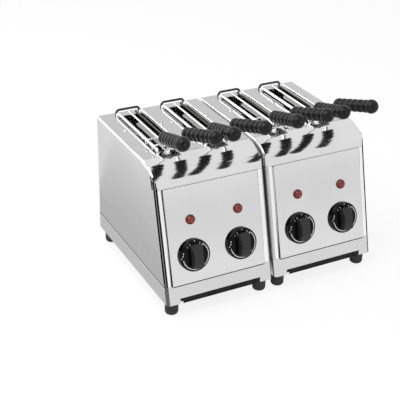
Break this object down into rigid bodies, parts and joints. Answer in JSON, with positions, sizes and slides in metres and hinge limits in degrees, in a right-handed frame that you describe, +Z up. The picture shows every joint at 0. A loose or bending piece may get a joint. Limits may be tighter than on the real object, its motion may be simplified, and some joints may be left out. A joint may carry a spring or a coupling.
{
  "type": "tong toaster",
  "caption": "Free-standing steel toaster of twin modules whose slots hold wire sandwich tongs, with a timer dial and a pilot lamp for each slot.",
  "frame": {"origin": "on the floor, under the middle of the whole outline", "axes": "+X to the right seen from the front, +Y to the back, +Z up"},
  "size_m": [0.405, 0.3104, 0.3238],
  "materials": {
    "polished_steel": "polished",
    "satin_steel": "satin",
    "oven_steel": "dull",
    "bright_wire": "polished",
    "zinc_steel": "satin",
    "black_rubber": "matt",
    "quartz": "clear",
    "ceramic": "matt",
    "red_lens": "gloss",
    "black_plastic": "matt",
    "dial_plastic": "gloss",
    "grip_plastic": "gloss"
  },
  "bodies": {
    "housing": {"left_base_frame": "satin_steel", "left_outer_side_panel": "satin_steel", "left_inner_side_panel": "satin_steel", "left_top_cover": "polished_steel", "left_fascia": "satin_steel", "left_back_panel": "satin_steel", "left_front_bulkhead": "oven_steel", "left_rear_bulkhead": "oven_steel", "left_guard_rack": "bright_wire", "left_reflectors": "oven_steel", "right_base_frame": "satin_steel", "right_outer_side_panel": "satin_steel", "right_inner_side_panel": "satin_steel", "right_top_cover": "polished_steel", "right_fascia": "satin_steel", "right_back_panel": "satin_steel", "right_front_bulkhead": "oven_steel", "right_rear_bulkhead": "oven_steel", "right_guard_rack": "bright_wire", "right_reflectors": "oven_steel", "rubber_feet": "black_rubber", "quartz_tubes": "quartz", "tube_caps": "ceramic", "timer_cases": "zinc_steel", "pilot_lenses": "red_lens", "pilot_bezels": "red_lens", "cable_glands": "black_plastic", "joining_bolts": "zinc_steel", "case_screws": "zinc_steel"},
    "timer_1": {"dial_1": "dial_plastic", "timer_shaft_1": "zinc_steel"},
    "tong_1": {"tong_1_left_arm": "bright_wire", "tong_1_left_grip": "grip_plastic", "tong_1_pivot": "zinc_steel"},
    "tong_1_right_half": {"tong_1_right_arm": "bright_wire", "tong_1_right_grip": "grip_plastic"},
    "timer_2": {"dial_2": "dial_plastic", "timer_shaft_2": "zinc_steel"},
    "tong_2": {"tong_2_left_arm": "bright_wire", "tong_2_left_grip": "grip_plastic", "tong_2_pivot": "zinc_steel"},
    "tong_2_right_half": {"tong_2_right_arm": "bright_wire", "tong_2_right_grip": "grip_plastic"},
    "timer_3": {"dial_3": "dial_plastic", "timer_shaft_3": "zinc_steel"},
    "tong_3": {"tong_3_left_arm": "bright_wire", "tong_3_left_grip": "grip_plastic", "tong_3_pivot": "zinc_steel"},
    "tong_3_right_half": {"tong_3_right_arm": "bright_wire", "tong_3_right_grip": "grip_plastic"},
    "timer_4": {"dial_4": "dial_plastic", "timer_shaft_4": "zinc_steel"},
    "tong_4": {"tong_4_left_arm": "bright_wire", "tong_4_left_grip": "grip_plastic", "tong_4_pivot": "zinc_steel"},
    "tong_4_right_half": {"tong_4_right_arm": "bright_wire", "tong_4_right_grip": "grip_plastic"},
    "left_tray": {"left_crumb_tray": "oven_steel"},
    "right_tray": {"right_crumb_tray": "oven_steel"}
  },
  "joints": [
    {"name": "timer_1_turn", "type": "hinge", "parent": "housing", "child": "timer_1", "pos_m": [-0.1465, -0.1311, 0.102], "axis": [0, 0.9681, -0.2504], "range_deg": [0, 300]},
    {"name": "tong_1_lift", "type": "slide", "parent": "housing", "child": "tong_1", "axis": [0, 0, 1], "range_m": [0, 0.135]},
    {"name": "tong_1_open", "type": "hinge", "parent": "tong_1", "child": "tong_1_right_half", "pos_m": [-0.1465, -0.04575, 0.2605], "axis": [0, 0, -1], "range_deg": [0, 3.5], "stiffness_Nm_per_rad": 0.6, "springref_deg": -22.92},
    {"name": "timer_2_turn", "type": "hinge", "parent": "housing", "child": "timer_2", "pos_m": [-0.0585, -0.1311, 0.102], "axis": [0, 0.9681, -0.2504], "range_deg": [0, 300]},
    {"name": "tong_2_lift", "type": "slide", "parent": "housing", "child": "tong_2", "axis": [0, 0, 1], "range_m": [0, 0.135]},
    {"name": "tong_2_open", "type": "hinge", "parent": "tong_2", "child": "tong_2_right_half", "pos_m": [-0.0585, -0.04575, 0.2605], "axis": [0, 0, -1], "range_deg": [0, 3.5], "stiffness_Nm_per_rad": 0.6, "springref_deg": -22.92},
    {"name": "timer_3_turn", "type": "hinge", "parent": "housing", "child": "timer_3", "pos_m": [0.0585, -0.1311, 0.102], "axis": [0, 0.9681, -0.2504], "range_deg": [0, 300]},
    {"name": "tong_3_lift", "type": "slide", "parent": "housing", "child": "tong_3", "axis": [0, 0, 1], "range_m": [0, 0.135]},
    {"name": "tong_3_open", "type": "hinge", "parent": "tong_3", "child": "tong_3_right_half", "pos_m": [0.0585, -0.04575, 0.2605], "axis": [0, 0, -1], "range_deg": [0, 3.5], "stiffness_Nm_per_rad": 0.6, "springref_deg": -22.92},
    {"name": "timer_4_turn", "type": "hinge", "parent": "housing", "child": "timer_4", "pos_m": [0.1465, -0.1311, 0.102], "axis": [0, 0.9681, -0.2504], "range_deg": [0, 300]},
    {"name": "tong_4_lift", "type": "slide", "parent": "housing", "child": "tong_4", "axis": [0, 0, 1], "range_m": [0, 0.135]},
    {"name": "tong_4_open", "type": "hinge", "parent": "tong_4", "child": "tong_4_right_half", "pos_m": [0.1465, -0.04575, 0.2605], "axis": [0, 0, -1], "range_deg": [0, 3.5], "stiffness_Nm_per_rad": 0.6, "springref_deg": -22.92},
    {"name": "left_tray_slide", "type": "slide", "parent": "housing", "child": "left_tray", "axis": [0, -1, 0], "range_m": [0, 0.24]},
    {"name": "right_tray_slide", "type": "slide", "parent": "housing", "child": "right_tray", "axis": [0, -1, 0], "range_m": [0, 0.24]}
  ]
}
